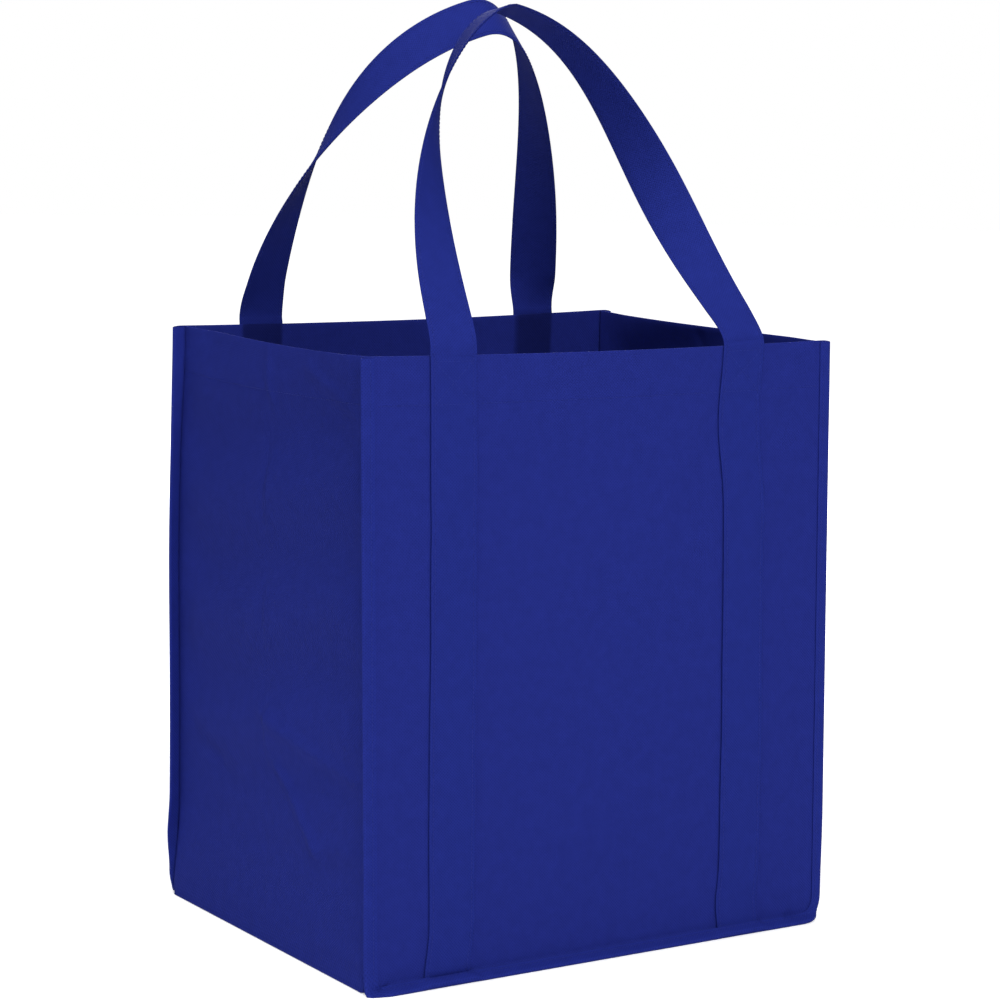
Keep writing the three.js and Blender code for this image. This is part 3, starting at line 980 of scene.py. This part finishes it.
def pressed_cloth(name, colour, shade, roughness, grain, strap_shade=1.0):
    """shade is the colour of the pressed points, and the last argument is painted shade: how light the
    cloth is painted under a strap.
    """
    material, tree = new_material(name)
    flat = add(tree, "ShaderNodeUVMap", {"uv_map": "cut"}).outputs["UV"]
    diagonal = {"Rotation": (0, 0, math.radians(45))}
    turned = add(tree, "ShaderNodeMapping", diagonal, Vector=flat).outputs["Vector"]
    grid = {"voronoi_dimensions": "2D", "Scale": 1 / (point_pitch * MM), "Randomness": 0.0}
    points = add(tree, "ShaderNodeTexVoronoi", grid, Vector=turned).outputs["Distance"]
    rounded = {"From Min": 0.14, "From Max": 0.42, "interpolation_type": "SMOOTHSTEP"}
    raised = add(tree, "ShaderNodeMapRange", rounded, Value=points).outputs["Result"]
    fibre = noise(tree, flat, fibre_size, noise_dimensions="2D", Detail=3.0)
    cloud = noise(tree, flat, cloud_size, noise_dimensions="2D", Detail=6.0, Roughness=0.62)
    body = add(tree, "ShaderNodeMix", {"data_type": "RGBA", 6: linear(shade), 7: linear(colour)}, i0=raised)
    cloudy = {"From Min": 0.3, "From Max": 0.7, "To Min": 0.95, "To Max": 1.05}
    tint = add(tree, "ShaderNodeMapRange", cloudy, Value=cloud).outputs["Result"]
    # Painted shade: the colour is darkened where a strap lies on the cloth. This stands for the light that
    # the strap keeps from shining through.
    under = add(tree, "ShaderNodeAttribute", {"attribute_name": "painted_strap_shade"}).outputs["Fac"]
    light = add(tree, "ShaderNodeMapRange", {"To Min": 1.0, "To Max": strap_shade}, Value=under)
    multiply = {"operation": "MULTIPLY"}
    tint = add(tree, "ShaderNodeMath", multiply, i0=tint, i1=light.outputs["Result"]).outputs["Value"]
    toned = add(tree, "ShaderNodeVectorMath", {"operation": "SCALE"}, i0=body.outputs[2], Scale=tint)
    height = add(tree, "ShaderNodeMath", {"operation": "MULTIPLY_ADD", 1: fibre_share}, i0=fibre, i2=raised)
    relief = {"Strength": grain, "Distance": point_relief * MM}
    bump = add(tree, "ShaderNodeBump", relief, Height=height.outputs["Value"])
    finish = {"Roughness": roughness, "IOR": 1.49, "Specular IOR Level": 0.04, "Metallic": 0.0}
    surface(tree, finish, **{"Base Color": toned.outputs["Vector"], "Normal": bump.outputs["Normal"]})
    return material


body_cloth = pressed_cloth("Spun-bonded polypropylene, pressed", "#212B7D", "#1B2471", 0.8, 0.6)
# The panels are painted half as light where a strap lies on them. This painted shade stands for the light
# that the strap keeps from shining through.
panel_cloth = pressed_cloth(
    "Spun-bonded polypropylene, pressed, with straps", "#212B7D", "#1B2471", 0.8, 0.5, strap_shade=0.5
)
tape_cloth = pressed_cloth("Spun-bonded polypropylene tape", "#212C80", "#1A2472", 0.78, 0.5)
strap_cloth = pressed_cloth("Spun-bonded polypropylene strap", "#202B7D", "#1A2470", 0.78, 0.3)
print("pressed points to the metre:", round(1 / (point_pitch * MM)))

# %% [markdown]
# The thread is spun polyester, twisted and a little glossier than the cloth. The board is extruded
# polypropylene sheet, dark, with a fine grain and faint scuffs. A plain colour would look like paint,
# so a wave gives the thread its twist, and noise gives the board its scuffs and grain.

# %% Thread and board
twist_pitch = 0.5
scuff_size = 25
grain_size = 0.6


def spun_thread():
    material, tree = new_material("Spun polyester thread")
    place = add(tree, "ShaderNodeTexCoord").outputs["Object"]
    wave = {"Scale": 1 / (twist_pitch * MM), "Distortion": 1.5}
    twist = add(tree, "ShaderNodeTexWave", wave, Vector=place).outputs["Fac"]
    colours = {"data_type": "RGBA", 6: linear("#1F2A7B"), 7: linear("#253086")}
    mixed = add(tree, "ShaderNodeMix", colours, i0=twist)
    finish = {"Roughness": 0.65, "IOR": 1.5, "Specular IOR Level": 0.12}
    surface(tree, finish, **{"Base Color": mixed.outputs[2]})
    return material


def board_plastic():
    material, tree = new_material("Extruded polypropylene board")
    place = add(tree, "ShaderNodeTexCoord").outputs["Object"]
    scuff = noise(tree, place, scuff_size, Detail=6.0)
    grain = noise(tree, place, grain_size, Detail=2.0)
    colours = {"data_type": "RGBA", 6: linear("#191A1F"), 7: linear("#24252B")}
    mixed = add(tree, "ShaderNodeMix", colours, i0=scuff)
    bump = add(tree, "ShaderNodeBump", {"Strength": 0.2, "Distance": 0.05 * MM}, Height=grain)
    links = {"Base Color": mixed.outputs[2], "Normal": bump.outputs["Normal"]}
    surface(tree, {"Roughness": 0.5, "IOR": 1.49}, **links)
    return material


# %% Dress the pieces
def dress(material, *pieces):
    for piece in pieces:
        piece.data.materials.clear()
        piece.data.materials.append(material)


dress(body_cloth, gusset_cloth)
dress(panel_cloth, front_cloth, back_cloth)
dress(tape_cloth, front_tape, back_tape)
dress(strap_cloth, front_strap, back_strap)
dress(spun_thread(), *threads)
dress(board_plastic(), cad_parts["base_board"])
print("materials:", len(bpy.data.materials))

# %% [markdown]
# The bag stands on a pale floor in front of white. More light would bleach the cloth as well, so the
# floor gets a glow that only the camera sees, which grows away from the bag and leaves its shadow.

# %% Floor
floor_radius = 12


def floor():
    bpy.ops.object.select_all(action="DESELECT")
    bpy.ops.mesh.primitive_circle_add(
        vertices=96, radius=floor_radius, fill_type="NGON", location=(0, 0, 0)
    )
    ground = bpy.context.object
    ground.name = "studio_floor"
    material, tree = new_material("Matt white floor")
    ray = add(tree, "ShaderNodeLightPath").outputs["Is Camera Ray"]
    matt = add(tree, "ShaderNodeBsdfDiffuse", {"Color": linear("#F2F2F2")}).outputs["BSDF"]
    place = add(tree, "ShaderNodeTexCoord").outputs["Object"]
    away = add(tree, "ShaderNodeVectorMath", {"operation": "LENGTH"}, i0=place).outputs["Value"]
    growth = {"From Min": 0.35, "From Max": 1.4, "To Min": 0.42, "To Max": 1.0}
    level = add(tree, "ShaderNodeMapRange", growth, Value=away).outputs["Result"]
    seen = add(tree, "ShaderNodeMath", {"operation": "MULTIPLY"}, i0=ray, i1=level).outputs["Value"]
    glow = add(tree, "ShaderNodeEmission", {"Color": (1, 1, 1, 1)}, Strength=seen).outputs["Emission"]
    both = add(tree, "ShaderNodeAddShader", i0=matt, i1=glow).outputs["Shader"]
    add(tree, "ShaderNodeOutputMaterial", Surface=both)
    dress(material, ground)
    ground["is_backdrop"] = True
    return ground


print("floor:", floor().name)

# %% [markdown]
# The world gives even light from all round, and the camera sees it as white. Three lamps at the front,
# overhead and high at the left shape the folds, one behind lights the far sides, and two small ones
# near the floor stand in for white cards. One strong lamp would be simpler, but it would give hard
# shadows that the bag doesn't have.

# %% World and lamps
def studio_world(level):
    world = bpy.data.worlds.new("Studio")
    bpy.context.scene.world = world
    world.use_nodes = True
    tree = world.node_tree
    tree.nodes.clear()
    path = add(tree, "ShaderNodeLightPath").outputs
    seen = add(
        tree, "ShaderNodeMath", {"operation": "MAXIMUM"},
        i0=path["Is Camera Ray"], i1=path["Is Transmission Ray"],
    ).outputs["Value"]
    strength = add(tree, "ShaderNodeMapRange", {"To Min": level, "To Max": 1.0}, Value=seen)
    white = {"Color": (1, 1, 1, 1)}
    sky = add(tree, "ShaderNodeBackground", white, Strength=strength.outputs["Result"])
    add(tree, "ShaderNodeOutputWorld", Surface=sky.outputs["Background"])


def soft_lamp(name, place, aim, size, power):
    data = bpy.data.lights.new(name, "AREA")
    data.shape = "DISK"
    data.size = size
    data.energy = power
    lamp = bpy.data.objects.new(name, data)
    bpy.context.scene.collection.objects.link(lamp)
    lamp.location = place
    lamp.rotation_euler = (Vector(aim) - lamp.location).to_track_quat("-Z", "Y").to_euler()
    lamp.visible_camera = False


middle = (0, 0, 0.25)
studio_world(0.15)
soft_lamp("key", (-0.9, -2.8, 1.7), middle, 2.0, 56)
soft_lamp("top", (0.0, -1.7, 3.0), middle, 2.0, 28)
soft_lamp("high_left", (-0.95, 0.1, 3.0), middle, 1.2, 34)
soft_lamp("behind", (1.5, 2.3, 1.8), middle, 2.0, 50)
soft_lamp("low_left", (-0.5, -0.1, 0.03), (-0.165, 0, 0.05), 0.3, 0.4)
soft_lamp("low_front", (0.05, -0.75, 0.05), (0, -0.13, 0.1), 0.4, 0.2)
print("lamps:", len(bpy.data.lights))

# %% [markdown]
# The camera stands where the photograph was taken from. It could be set by eye, but its place, turn and
# focal length were fitted to the bag's corners instead, and a roll of one degree is part of the fit.

# %% Camera
sensor_width = 36
picture_size = 1000
focal_pixels = 2790
camera_place = (-0.9585, -1.5244, 0.5205)
camera_yaw = math.radians(-32.24)
camera_down = math.radians(7.86)
camera_roll = math.radians(0.97)


def photo_camera():
    data = bpy.data.cameras.new("photo_camera")
    data.sensor_width = sensor_width
    data.lens = focal_pixels / picture_size * sensor_width
    data.clip_end = 60
    camera = bpy.data.objects.new("photo_camera", data)
    bpy.context.scene.collection.objects.link(camera)
    turn = Matrix.Rotation(camera_yaw, 4, "Z") @ Matrix.Rotation(math.pi / 2 - camera_down, 4, "X")
    camera.matrix_world = Matrix.Translation(camera_place) @ turn @ Matrix.Rotation(camera_roll, 4, "Z")
    bpy.context.scene.camera = camera


photo_camera()
print("lens, mm:", round(bpy.context.scene.camera.data.lens, 1))
bpy.context.scene.view_settings.view_transform = "Standard"

# %% Sizes of the visual model
low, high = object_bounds()
print("visual model, mm:", [round(v / MM, 1) for v in (*low, *high)])
